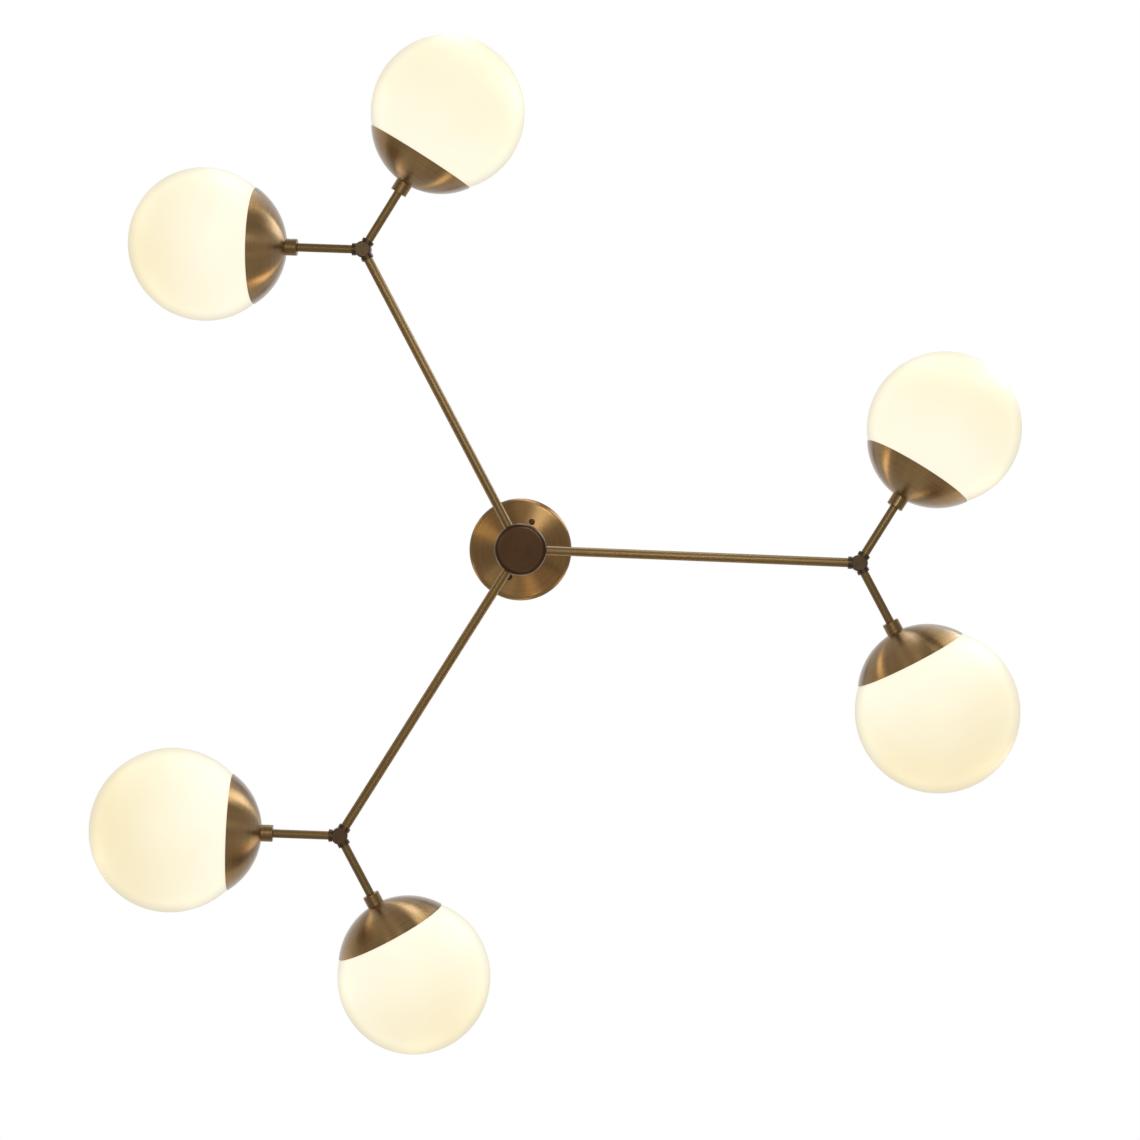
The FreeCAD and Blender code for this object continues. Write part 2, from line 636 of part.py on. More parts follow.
def ceiling_leads():
    """Two supply leads from the block to wire nuts in the canopy, and the ground lead."""
    thick = value("Sizes.lead_radius")
    aside = value("Sizes.lead_offset")
    low = value("Worked.block_top - Sizes.supply_end")
    bend = value("Sizes.supply_bend")
    high = value("Worked.bar_top + Sizes.nipple_stick - Sizes.supply_dip") + bend
    run = value("Sizes.supply_run")
    leads = []
    for side in (1, -1):
        route = rounded_path([
            Vector(0, side * aside, low),
            Vector(0, side * aside, high),
            Vector(0, side * run, high),
        ], bend)
        leads.append(lead(route, thick))
    ground_high = value("Worked.bar_under - Sizes.ground_lead_gap") - thick
    ground_at = value("Sizes.ground_place")
    start = value("Sizes.canopy_screw_radius")
    route = Part.Wire([Part.LineSegment(Vector(ground_at, start, ground_high),
                                        Vector(ground_at, run, ground_high)).toShape()])
    leads.append(lead(route, thick))
    wiring = doc.addObject("Part::Feature", "Supply_leads")
    wiring.Shape = Part.Compound(leads)
    node(wiring, "supply_leads")
    caps = []
    spots = ((0, 1, high), (0, -1, high), (ground_at, 1, ground_high))
    for number, (along, side, height) in enumerate(spots, 1):
        formula = ("placement(vector(%s; %s; %s); rotation(vector(1; 0; 0); %d))"
                   % ("Sizes.ground_place" if along else "0",
                      ("" if side > 0 else "-") + "Sizes.supply_run", height, -90 * side))
        frame = new_frame("Wire_nut_place_%d" % number, formula)
        caps.append(wire_nut("Wire_nut_%d" % number, frame))
    group("wire_nuts", caps)


def wire_nut(name, frame):
    """Twist-on connector: a stepped cone that closes over the ends of the wires."""
    wide = "Sizes.wire_nut_radius"
    length = "Sizes.wire_nut_length"
    return turned(name, [
        ("0", "0"),
        (wide + " * 0.8", "0"),
        (wide, length + " * 0.12"),
        (wide, length + " * 0.3"),
        (wide + " * 0.75", length + " * 0.45"),
        (wide + " * 0.5", length + " - 1", "1.5", 1),
        (wide + " * 0.5 - 1", length),
        ("0", length),
    ], frame)


# ---- arms and heads ----

def arm(number, frame):
    """Tube with a turned-down threaded end for the hub and one for its knuckle."""
    wide = "Sizes.arm_radius"
    spigot = "Sizes.spigot_radius"
    bore = "Sizes.wire_bore"
    hub_side = "Sizes.hub_radius"
    inner_end = "Sizes.hub_radius - Sizes.arm_thread"
    shoulder = "Sizes.arm_reach - Sizes.boss_reach - Sizes.swivel_gap"
    outer_end = "Sizes.arm_reach - Sizes.boss_reach + Sizes.boss_socket - Sizes.seat_gap"
    return node(turned("Arm_%d" % number, [
        (bore, inner_end),
        (spigot, inner_end),
        (spigot, hub_side),
        (wide, hub_side),
        (wide, shoulder),
        (spigot, shoulder),
        (spigot, outer_end),
        (bore, outer_end),
    ], frame), "arm_%d" % number)


def arm_nut(number, frame):
    """Nut on the arm's end, its corners just clear of the hub's round wall."""
    flats = "Sizes.arm_nut_flats"
    tall = "Sizes.arm_nut_height"
    reach = "sqrt(Worked.hub_inside ^ 2 - (%s / sqrt(3)) ^ 2)" % flats
    return hexagon_nut("Arm_nut_%d" % number, flats, "Worked.spigot_hole",
                       "%s - %s - 0.1" % (reach, tall), tall, frame)


def knuckle(number, frame):
    """Y fitting: a flat-faced round middle with three beaded bosses, bored for the wires."""
    name = "Knuckle_%d" % number
    puck = doc.addObject("Part::Cylinder", name + "_middle")
    bind(puck, "Radius", "Sizes.knuckle_radius")
    bind(puck, "Height", "Sizes.knuckle_height")
    bind(puck, "Placement", "placement(vector(-Sizes.knuckle_height / 2; 0; 0);"
         " rotation(vector(0; 1; 0); 90))")
    doc.recompute()
    bevelled = doc.addObject("Part::Chamfer", name + "_bevelled")
    bevelled.Base = puck
    bevel = value("Sizes.knuckle_bevel")
    bevelled.Edges = [(index, bevel, bevel) for index, edge in enumerate(puck.Shape.Edges, 1)
                      if isinstance(edge.Curve, Part.Circle)]
    solids = [bevelled]
    drills = []
    turns = ("180", "Sizes.branch_angle", "-Sizes.branch_angle")
    for index, turn in enumerate(turns, 1):
        place = "placement(vector(0; 0; 0); rotation(vector(1; 0; 0); %s)) * " % turn
        raised = place + "placement(vector(0; 0; %s); rotation(vector(0; 0; 1); 0))"
        neck = cylinder("%s_neck_%d" % (name, index), "Sizes.boss_radius", "Sizes.boss_reach")
        bead = cylinder("%s_bead_%d" % (name, index), "Sizes.boss_collar_radius",
                        "Sizes.boss_collar_length")
        hole = cylinder("%s_hole_%d" % (name, index), "Sizes.wire_bore", "Sizes.boss_reach + 1")
        socket = cylinder("%s_socket_%d" % (name, index), "Worked.spigot_hole",
                          "Sizes.boss_socket + 1")
        bind(neck, "Placement", raised % "0")
        bind(bead, "Placement", raised % "Sizes.boss_reach - Sizes.boss_collar_length")
        bind(hole, "Placement", raised % "0")
        bind(socket, "Placement", raised % "Sizes.boss_reach - Sizes.boss_socket")
        solids += [neck, bead]
        drills += [hole, socket]
    chamber = doc.addObject("Part::Sphere", name + "_chamber")
    bind(chamber, "Radius", "Sizes.knuckle_chamber")
    drills.append(chamber)
    outside = doc.addObject("Part::MultiFuse", name + "_outside")
    outside.Shapes = solids
    inside = doc.addObject("Part::MultiFuse", name + "_inside")
    inside.Shapes = drills
    fitting = doc.addObject("Part::Cut", name)
    fitting.Base = outside
    fitting.Tool = inside
    set_to(fitting, frame)
    doc.recompute()
    return node(fitting, "knuckle_%d" % number)


def branch_rod(number, frame):
    """Tube from the knuckle through collar and cap into the lampholder."""
    near = "Sizes.boss_reach - Sizes.boss_socket + Sizes.seat_gap"
    return turned("Branch_rod_%d" % number, [
        ("Sizes.wire_bore", near),
        ("Sizes.spigot_radius", near),
        ("Sizes.spigot_radius", "Sizes.boss_reach"),
        ("Sizes.rod_radius", "Sizes.boss_reach"),
        ("Sizes.rod_radius", "Worked.rod_end"),
        ("Sizes.wire_bore", "Worked.rod_end"),
    ], frame)


def collar(number, frame):
    """Turned collar that the cap is clamped against."""
    wide = "Sizes.collar_radius"
    near = "Sizes.collar_place"
    bevel = "Sizes.collar_bevel"
    return turned("Collar_%d" % number, [
        ("Worked.rod_hole", near),
        ("%s - %s" % (wide, bevel), near),
        (wide, "%s + %s" % (near, bevel)),
        (wide, "Worked.cap_seat"),
        ("Worked.rod_hole", "Worked.cap_seat"),
    ], frame)


def cap(number, frame):
    """Spun brass bowl: part of a sphere with a small pressed flat round the rod."""
    seat = "Worked.cap_seat_radius"
    flat = "Worked.cap_seat_inside"
    inner_seat = "sqrt(Worked.cap_inner ^ 2 - (Worked.cap_centre - Worked.cap_seat_inside) ^ 2)"
    return node(turned("Cap_%d" % number, [
        ("Worked.rod_hole", flat),
        ("Worked.rod_hole", "Worked.cap_seat"),
        (seat, "Worked.cap_seat", "Worked.cap_sphere", 1),
        ("Sizes.cap_rim_radius", "Worked.cap_rim"),
        ("Worked.cap_mouth", "Worked.cap_rim", "Worked.cap_inner", -1),
        (inner_seat, flat),
    ], frame), "cap_%d" % number)


def globe_centre(radius):
    """Where a globe's centre lies: its side in the cap's rim, and its bush clear of the cap."""
    on_rim = "Worked.cap_rim + sqrt((%s) ^ 2 - Worked.glass_at_rim ^ 2)" % radius
    on_bush = "Worked.mouth_seat + sqrt((%s) ^ 2 - Sizes.mouth_radius ^ 2)" % radius
    return "max(%s; %s)" % (on_rim, on_bush)


def mouth_edge(radius, skin):
    """Where the glass is cut through at its mouth, on its outer or inner skin."""
    return "(%s - sqrt(%s ^ 2 - Sizes.mouth_radius ^ 2))" % (globe_centre(radius), skin)


def globe(number, radius, frame):
    """Opal glass sphere with a round mouth on the lampholder's side."""
    inner = "(%s - Sizes.glass_wall)" % radius
    centre = globe_centre(radius)
    return node(turned("Globe_%d" % number, [
        ("Sizes.mouth_radius", mouth_edge(radius, radius), radius, 1),
        ("0", "%s + %s" % (centre, radius)),
        ("0", "%s + %s" % (centre, inner), inner, -1),
        ("Sizes.mouth_radius", mouth_edge(radius, inner)),
    ], frame), "globe_%d" % number)


def globe_bush(number, radius, frame):
    """Flanged bush cemented into the globe's mouth; its thread runs on the lampholder."""
    face = mouth_edge(radius, radius)
    bore = "Worked.bush_bore"
    outside = "Sizes.mouth_radius - Sizes.fit_gap"
    flange = "Sizes.bush_flange_radius"
    low = face + " - Sizes.bush_flange"
    return node(turned("Globe_bush_%d" % number, [
        (bore, low),
        (flange + " - 0.6", low),
        (flange, low + " + 0.6"),
        (flange, face),
        (outside, face),
        (outside, low + " + Sizes.bush_length - 0.6"),
        (outside + " - 0.6", low + " + Sizes.bush_length"),
        (bore, low + " + Sizes.bush_length"),
    ], frame), "globe_bush_%d" % number)


def lampholder(number, frame):
    """Lampholder run on the rod's end: bevelled foot, threaded outside, socket and contact."""
    wide = "Sizes.lampholder_radius"
    low = "Worked.cap_seat_inside"
    end = "Worked.lamp_end"
    socket = "Sizes.bulb_base_radius + Sizes.fit_gap"
    contact = "Worked.bulb_start - Sizes.fit_gap"
    floor = "Worked.bulb_start - 1"
    return turned("Lampholder_%d" % number, [
        ("Worked.rod_hole", low),
        ("Sizes.lampholder_seat", low),
        (wide, low + " + Sizes.lampholder_foot"),
        (wide, end + " - 1"),
        (wide + " - 1", end),
        (socket, end),
        (socket, floor),
        ("Sizes.bulb_tip_radius", floor),
        ("Sizes.bulb_tip_radius", contact),
        ("0", contact),
        ("0", "Worked.rod_end + 1.3"),
        ("Worked.rod_hole", "Worked.rod_end + 1.3"),
    ], frame)


def bulb(number, frame):
    """Slim opal bulb: contact, screw base, tapered neck, tube and domed crown."""
    start = "Worked.bulb_start"
    base = "Sizes.bulb_base_radius"
    shelf = "(%s + Sizes.bulb_base_length)" % start
    neck = "Sizes.bulb_neck_radius"
    wide = "Sizes.bulb_radius"
    crown = "(%s + Sizes.bulb_length)" % start
    return node(turned("Bulb_%d" % number, [
        ("0", start),
        ("Sizes.bulb_tip_radius", start),
        (base + " - 0.8", start + " + 3"),
        (base, start + " + 4"),
        (base, shelf),
        (neck, shelf),
        (wide, shelf + " + 9"),
        (wide, "%s - %s" % (crown, wide), wide, 1),
        ("0", crown),
    ], frame), "bulb_%d" % number)


def head_leads(number, head):
    """Two leads along the arm, parting in the knuckle and ending in the lampholders."""
    thick = value("Sizes.lead_radius")
    aside = value("Sizes.lead_offset")
    angle = math.radians(value("Sizes.branch_angle"))
    inner = value("Sizes.block_flats / 2 - Sizes.block_entry_depth + 0.3 - Sizes.arm_reach")
    far = value("Worked.rod_end + 1")
    leads = []
    for side in (1, -1):
        crossing = aside / math.tan(angle)
        route = rounded_path([
            Vector(0, side * aside, inner),
            Vector(0, side * aside, crossing),
            Vector(0, side * far * math.sin(angle), far * math.cos(angle)),
        ], value("Sizes.lead_bend"))
        leads.append(lead(route, thick))
    wiring = doc.addObject("Part::Feature", "Head_leads_%d" % number)
    wiring.Shape = Part.Compound(leads)
    wiring.Placement = head.Placement
    return node(wiring, "head_leads_%d" % number)


def arm_and_head(number, twist, radii):
    """One arm with its nut, and the Y head that it carries."""
    along = new_frame(
        "Arm_place_%d" % number,
        "placement(vector(0; 0; -Sizes.arm_drop);"
        " rotation(vector(0; 0; 1); Sizes.arm_bearing_angle + %d * Sizes.arm_spread_angle))"
        " * placement(vector(0; 0; 0); rotation(vector(0; 1; 0); 90))" % (number - 1))
    head = new_frame(
        "Head_place_%d" % number,
        "Arm_place_%d.Placement * placement(vector(0; 0; Sizes.arm_reach);"
        " rotation(vector(0; 0; 1); %s))" % (number, twist))
    arm(number, along)
    knuckle(number, head)
    rods = []
    collars = []
    lamps = []
    for side, radius in enumerate(radii):
        index = 2 * number - 1 + side
        turn = "Sizes.branch_angle" if side == 0 else "-Sizes.branch_angle"
        branch = new_frame(
            "Branch_place_%d" % index,
            "Head_place_%d.Placement * placement(vector(0; 0; 0);"
            " rotation(vector(1; 0; 0); %s))" % (number, turn))
        rods.append(branch_rod(index, branch))
        collars.append(collar(index, branch))
        lamps.append(lampholder(index, branch))
        cap(index, branch)
        globe(index, radius, branch)
        globe_bush(index, radius, branch)
        bulb(index, branch)
    group("branch_rods_%d" % number, rods)
    group("collars_%d" % number, collars)
    group("lampholders_%d" % number, lamps)
    head_leads(number, head)
    return arm_nut(number, along)


def build():
    """Every sub-part of the light, from the ceiling down and outward."""
    fill_sheets()
    ceiling = new_frame("Ceiling_place", "placement(vector(0; 0; 0); rotation(vector(0; 0; 1); 0))")
    arms = new_frame(
        "Arms_place", "placement(vector(0; 0; 0); rotation(vector(0; 0; 1); Sizes.arm_bearing_angle))")
    crossbar(ceiling)
    canopy(ceiling)
    ceiling_screws()
    stem(ceiling)
    hub(arms)
    junction_block(arms)
    ceiling_leads()
    small = "Sizes.globe_radius"
    large = "Sizes.large_globe_radius"
    group("arm_lock_nuts", [
        arm_and_head(1, "Sizes.twist_angle_a", (small, small)),
        arm_and_head(2, "Sizes.twist_angle_b", (small, large)),
        arm_and_head(3, "Sizes.twist_angle_c", (small, large)),
    ])
    doc.recompute()


def check_and_write():
    """Stops on a failed or empty piece, then writes one file for each sub-part."""
    for thing in doc.Objects:
        if "Invalid" in thing.State or "Error" in thing.State:
            raise RuntimeError(thing.Name + " failed: " + str(thing.State))
    for piece in nodes:
        if piece.Shape.isNull() or not piece.Shape.isValid() or not piece.Shape.Solids:
            raise RuntimeError(piece.Label + " has no valid shape")
    os.makedirs("parts", exist_ok=True)
    for piece in nodes:
        piece.Shape.exportStep("parts/%s.step" % piece.Label)
        print("%-18s %d solid(s) %10.1f mm3" % (
            piece.Label, len(piece.Shape.Solids), piece.Shape.Volume))


build()
check_and_write()
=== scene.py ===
import json
import math

import bpy
from mathutils import Matrix, Vector


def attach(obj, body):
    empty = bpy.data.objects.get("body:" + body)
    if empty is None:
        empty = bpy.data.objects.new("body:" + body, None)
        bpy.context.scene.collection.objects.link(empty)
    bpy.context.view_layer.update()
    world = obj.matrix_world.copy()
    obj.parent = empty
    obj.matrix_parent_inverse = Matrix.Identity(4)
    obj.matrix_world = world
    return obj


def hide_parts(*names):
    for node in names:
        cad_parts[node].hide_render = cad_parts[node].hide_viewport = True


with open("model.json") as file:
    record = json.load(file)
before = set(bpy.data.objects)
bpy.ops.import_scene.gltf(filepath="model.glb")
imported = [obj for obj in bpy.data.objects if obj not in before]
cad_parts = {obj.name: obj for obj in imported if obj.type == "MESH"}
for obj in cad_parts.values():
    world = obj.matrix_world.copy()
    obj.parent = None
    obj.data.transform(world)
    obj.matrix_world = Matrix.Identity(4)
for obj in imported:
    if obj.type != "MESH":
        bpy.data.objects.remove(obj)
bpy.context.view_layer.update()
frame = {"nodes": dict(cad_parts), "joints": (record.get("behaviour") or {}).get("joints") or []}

cadNodes = frame["nodes"]
print("frame loaded:", len(cadNodes), "nodes")

headNumbers = (1, 2, 3)
globeNumbers = (1, 2, 3, 4, 5, 6)

# Lines and centres of the light, read from the record's joints.
jointByName = {joint["name"]: joint for joint in frame["joints"]}


def knuckleCentre(head):
    return Vector(jointByName["head_%d_turn" % head]["pos_m"])


def armLine(head):
    return Vector(jointByName["head_%d_turn" % head]["axis"]).normalized()


def branchLine(globe):
    return Vector(jointByName["globe_%d_off" % globe]["axis"]).normalized()


def headOf(globe):
    return (globe + 1) // 2


def globesOf(head):
    return (2 * head - 1, 2 * head)


# How far a carried-over node's points lie along a line and out from it.
def measured(nodeName, centre, line, nearOnly=False):
    thing = cadNodes[nodeName]
    alongs, outs = [], []
    for vertex in thing.data.vertices:
        away = thing.matrix_world @ vertex.co - centre
        along = away.dot(line)
        out = (away - line * along).length
        if nearOnly and (along < 0.0 or out > along):
            continue
        alongs.append(along)
        outs.append(out)
    return {"start": min(alongs), "end": max(alongs), "radius": max(outs)}


# Small helpers for material nodes.
noiseSpread = (0.3, 0.7)    # nearly all of a noise's values lie between these


def freshMaterial(name):
    material = bpy.data.materials.new(name)
    material.use_nodes = True
    tree = material.node_tree
    tree.nodes.clear()
    return material, tree, tree.nodes.new("ShaderNodeOutputMaterial")


def feed(tree, socket, source):
    if isinstance(source, bpy.types.NodeSocket):
        tree.links.new(source, socket)
    elif source is not None:
        socket.default_value = source


def scalarStep(tree, operation, first, second=None):
    step = tree.nodes.new("ShaderNodeMath")
    step.operation = operation
    for socket, source in zip(step.inputs, (first, second)):
        feed(tree, socket, source)
    return step.outputs[0]


def vectorStep(tree, operation, first, second=None):
    step = tree.nodes.new("ShaderNodeVectorMath")
    step.operation = operation
    feed(tree, step.inputs[0], first)
    if second is not None:
        feed(tree, step.inputs["Scale" if operation == "SCALE" else 1], second)
    return step.outputs["Value" if operation in ("DOT_PRODUCT", "LENGTH") else "Vector"]


def noiseStep(tree, place, scale, detail, rough):
    noise = tree.nodes.new("ShaderNodeTexNoise")
    noise.inputs["Scale"].default_value = scale
    noise.inputs["Detail"].default_value = detail
    noise.inputs["Roughness"].default_value = rough
    feed(tree, noise.inputs["Vector"], place)
    return noise.outputs["Fac"]


def rangeStep(tree, source, fromRange, toRange):
    step = tree.nodes.new("ShaderNodeMapRange")
    feed(tree, step.inputs["Value"], source)
    for name, number in zip(("From Min", "From Max", "To Min", "To Max"), (*fromRange, *toRange)):
        step.inputs[name].default_value = number
    return step.outputs["Result"]


def blendOf(tree, first, second, share):
    return scalarStep(tree, "ADD", scalarStep(tree, "MULTIPLY", first, 1.0 - share),
                      scalarStep(tree, "MULTIPLY", second, share))


def mixStep(tree, kind, factor, first, second):
    step = tree.nodes.new("ShaderNodeMix")
    step.data_type = kind
    feed(tree, step.inputs["Factor"], factor)
    feed(tree, step.inputs["A"], first)
    feed(tree, step.inputs["B"], second)
    return step.outputs["Result"]


def colourMix(tree, factor, first, second):
    return mixStep(tree, "RGBA", factor, first, second)


def bumpStep(tree, height, strength, distance):
    bump = tree.nodes.new("ShaderNodeBump")
    bump.inputs["Strength"].default_value = strength
    bump.inputs["Distance"].default_value = distance
    feed(tree, bump.inputs["Height"], height)
    return bump.outputs["Normal"]


def objectPlace(tree):
    return tree.nodes.new("ShaderNodeTexCoord").outputs["Object"]


def darkened(colour, share):
    return tuple(channel * share for channel in colour[:3]) + (1.0,)


# Distances along and across a turned piece's own axis. Two branches that share a node
# are told apart by the side of their arm that a point lies on.
def turnedPlace(tree, centre, lines, aside=None):
    place = objectPlace(tree)
    away = vectorStep(tree, "SUBTRACT", place, tuple(centre))
    line = tuple(lines[0])
    if len(lines) == 2:
        asideReach = vectorStep(tree, "DOT_PRODUCT", away, tuple(aside))
        side = scalarStep(tree, "GREATER_THAN", asideReach, 0.0)
        line = mixStep(tree, "VECTOR", side, tuple(lines[1]), tuple(lines[0]))
    along = vectorStep(tree, "DOT_PRODUCT", away, line)
    spine = vectorStep(tree, "SCALE", line, along)
    across = vectorStep(tree, "SUBTRACT", away, spine)
    return {
        "place": place,
        "line": line,
        "along": along,
        "radius": vectorStep(tree, "LENGTH", across),
        "outward": vectorStep(tree, "NORMALIZE", across),
        "roundWay": vectorStep(tree, "NORMALIZE", vectorStep(tree, "CROSS_PRODUCT", line, across)),
    }


def worldDirection(tree, direction):
    turnNode = tree.nodes.new("ShaderNodeVectorTransform")
    turnNode.vector_type = "VECTOR"
    turnNode.convert_from = "OBJECT"
    turnNode.convert_to = "WORLD"
    feed(tree, turnNode.inputs[0], direction)
    return turnNode.outputs[0]


def paint(nodeName, material):
    thing = cadNodes[nodeName]
    thing.data.materials.clear()
    thing.data.materials.append(material)


# Brushed, lacquered brass. Spun pieces are brushed round their axis, drawn ones along it.
spunBrass = {
    "light": (0.225, 0.141, 0.061, 1.0),      # colour of the metal's reflection
    "dark": (0.158, 0.096, 0.039, 1.0),       # between the brushing lines
    "toneSpread": (0.30, 0.70),               # part of the pattern that runs from dark to light
    "roughness": (0.28, 0.32),
    "shineSpread": (0.32, 0.68),              # part of the pattern that runs from shiny to dull
    "anisotropy": 0.95,
    "highlightTurn": 0.25,                    # a quarter turn lays the highlight across the lines
    "ringPitch": 0.0011,                      # the coarsest brushing lines, metres apart
    "ringDrift": 0.45,                        # how much the lines change on their way round
    "drawnChange": 16.0,                      # how often the lines change in a metre of rod
    "drawnDrift": 1.7,                        # how much they change on their way round a rod
    "fineness": 4.0,                          # how far the lines break up into finer ones
    "lineContrast": 0.55,
    "patchScale": 18.0,                       # patches in the colour
    "patchShare": 0.35,
    "wearScale": 60.0,                        # patches in the shine
    "wearShare": 0.35,
    "bump": 0.03,
    "bumpDepth": 0.00002,
    "lacquer": 0.08,
    "lacquerRoughness": 0.22,
}
# Drawn brass for rods and stem. Its colours are darker than the caps' brass: painted shade,
# standing in for the dark room that the rods reflect.
drawnBrassPaintedShade = dict(spunBrass, anisotropy=0.55, roughness=(0.39, 0.43), bump=0.02, fineness=1.0,
                  light=(0.120, 0.078, 0.032, 1.0), dark=(0.096, 0.061, 0.025, 1.0))
# Canopy, canopy ring and hub body. Their colours are darker than the caps' brass: painted shade,
# standing in for the dark room below that they reflect.
canopyBrassPaintedShade = dict(spunBrass, anisotropy=0.97, roughness=(0.27, 0.31),
                   light=(0.186, 0.109, 0.043, 1.0), dark=(0.129, 0.074, 0.029, 1.0))
# Hub cover and canopy screws get a near-black brass colour: painted shade, standing in for the
# dark room below that the flat face reflects.
coverBrassPaintedShade = dict(spunBrass, anisotropy=0.2, roughness=(0.30, 0.34),
                  light=(0.041, 0.021, 0.010, 1.0), dark=(0.034, 0.017, 0.008, 1.0))
# Collars, with colours darker than the caps' brass: painted shade, standing in for the dark room
# that they reflect.
collarBrassPaintedShade = dict(spunBrass, anisotropy=0.2, roughness=(0.34, 0.38), bump=0.02, fineness=1.0,
                   ringPitch=0.0035,
                   light=(0.14, 0.088, 0.038, 1.0), dark=(0.11, 0.068, 0.029, 1.0))
# Knuckles get a near-black brass colour: painted shade, standing in for the dark room below that
# their flat face reflects.
knuckleBrassPaintedShade = dict(collarBrassPaintedShade, roughness=(0.38, 0.42),
                    light=(0.050, 0.033, 0.019, 1.0), dark=(0.040, 0.026, 0.015, 1.0))


def brushedBrass(name, centre, lines, look, drawn=False, aside=None):
    material, tree, output = freshMaterial(name)
    turned = turnedPlace(tree, centre, lines, aside)
    shader = tree.nodes.new("ShaderNodeBsdfPrincipled")
    combine = tree.nodes.new("ShaderNodeCombineXYZ")
    if drawn:
        run = scalarStep(tree, "MULTIPLY", turned["along"], look["drawnChange"])
        swirl = vectorStep(tree, "SCALE", turned["outward"], look["drawnDrift"])
    else:
        profile = scalarStep(tree, "ADD", turned["along"], turned["radius"])
        run = scalarStep(tree, "DIVIDE", profile, look["ringPitch"])
        swirl = vectorStep(tree, "SCALE", turned["outward"], look["ringDrift"])
    feed(tree, combine.inputs["X"], run)
    brushed = noiseStep(tree, vectorStep(tree, "ADD", combine.outputs[0], swirl), 1.0,
                        look["fineness"], look["lineContrast"])
    patchy = noiseStep(tree, turned["place"], look["patchScale"], 2.0, 0.5)
    worn = noiseStep(tree, turned["place"], look["wearScale"], 2.0, 0.5)
    tone = rangeStep(tree, blendOf(tree, brushed, patchy, look["patchShare"]),
                     look["toneSpread"], (0.0, 1.0))
    shine = blendOf(tree, brushed, worn, look["wearShare"])
    feed(tree, shader.inputs["Base Color"], colourMix(tree, tone, look["dark"], look["light"]))
    feed(tree, shader.inputs["Roughness"],
         rangeStep(tree, shine, look["shineSpread"], look["roughness"]))
    shader.inputs["Metallic"].default_value = 1.0
    shader.inputs["Anisotropic"].default_value = look["anisotropy"]
    shader.inputs["Anisotropic Rotation"].default_value = look["highlightTurn"]
    shader.inputs["Coat Weight"].default_value = look["lacquer"]
    shader.inputs["Coat Roughness"].default_value = look["lacquerRoughness"]
    tangent = worldDirection(tree, turned["line" if drawn else "roundWay"])
    feed(tree, shader.inputs["Tangent"], tangent)
    feed(tree, shader.inputs["Normal"], bumpStep(tree, brushed, look["bump"], look["bumpDepth"]))
    tree.links.new(shader.outputs[0], output.inputs["Surface"])
    return material


stemFoot = Vector((0.0, 0.0, 0.0))
stemLine = Vector((0.0, 0.0, 1.0))
canopyScrewFoot = Vector((0.034925, 0.0, 0.0))
for nodeName, look in (("canopy", canopyBrassPaintedShade), ("canopy_ring", canopyBrassPaintedShade),
                       ("hub_body", canopyBrassPaintedShade), ("hub_cover", coverBrassPaintedShade),
                       ("stem_coupling", spunBrass)):
    paint(nodeName, brushedBrass(nodeName + "Brass", stemFoot, [stemLine], look))
for nodeName in ("stem_upper", "stem_lower"):
    paint(nodeName, brushedBrass(nodeName + "Brass", stemFoot, [stemLine], drawnBrassPaintedShade, drawn=True))
paint("canopy_screws", brushedBrass("canopyScrewBrass", canopyScrewFoot, [stemLine], coverBrassPaintedShade))

for head in headNumbers:
    centre = knuckleCentre(head)
    branches = [branchLine(globe) for globe in globesOf(head)]
    aside = (branches[0] - branches[1]).normalized()
    faceLine = branches[0].cross(branches[1]).normalized()
    paint("arm_%d" % head, brushedBrass("arm%dBrass" % head, centre, [armLine(head)], drawnBrassPaintedShade,
                                        drawn=True))
    paint("knuckle_%d" % head, brushedBrass("knuckle%dBrass" % head, centre, [faceLine],
                                            knuckleBrassPaintedShade))
    paint("branch_rods_%d" % head, brushedBrass("branchRods%dBrass" % head, centre, branches,
                                                drawnBrassPaintedShade, drawn=True, aside=aside))
    paint("collars_%d" % head, brushedBrass("collars%dBrass" % head, centre, branches,
                                            collarBrassPaintedShade, aside=aside))
    for globe in globesOf(head):
        paint("cap_%d" % globe, brushedBrass("cap%dBrass" % globe, centre, [branchLine(globe)],
                                             spunBrass))
print("brass done")


# Opal glass, lit from inside: whitest beside the bulb, yellower at the far end.
opalLook = {
    "near": (0.86, 0.820, 0.66, 1.0),         # glow beside the bulb
    "far": (0.78, 0.680, 0.430, 1.0),         # glow at the far end
    "rim": (0.36, 0.355, 0.285, 1.0),         # glow of glass seen edge on
    "glowStrength": 1.0,
    "body": ((0.175, 0.170, 0.150, 1.0), (0.205, 0.200, 0.178, 1.0)),
    "roughness": (0.46, 0.54),
    "refraction": 1.5,
    "specular": 0.2,
    "lightCentre": 0.6,                       # how far along its bulb the light has its middle
    "reach": (0.066, 0.108),                  # metres from there, from near glow to far glow
    "cloudScale": 13.0,
    "cloudDrift": (-0.006, 0.006),            # metres by which clouds shift the glow
    "edgeSpread": (0.55, 1.0),                # where the glass starts to be seen edge on
    "edgeShare": 0.85,
    "rippleScale": 34.0,
    "rippleBump": 0.03,
    "rippleDepth": 0.001,
}


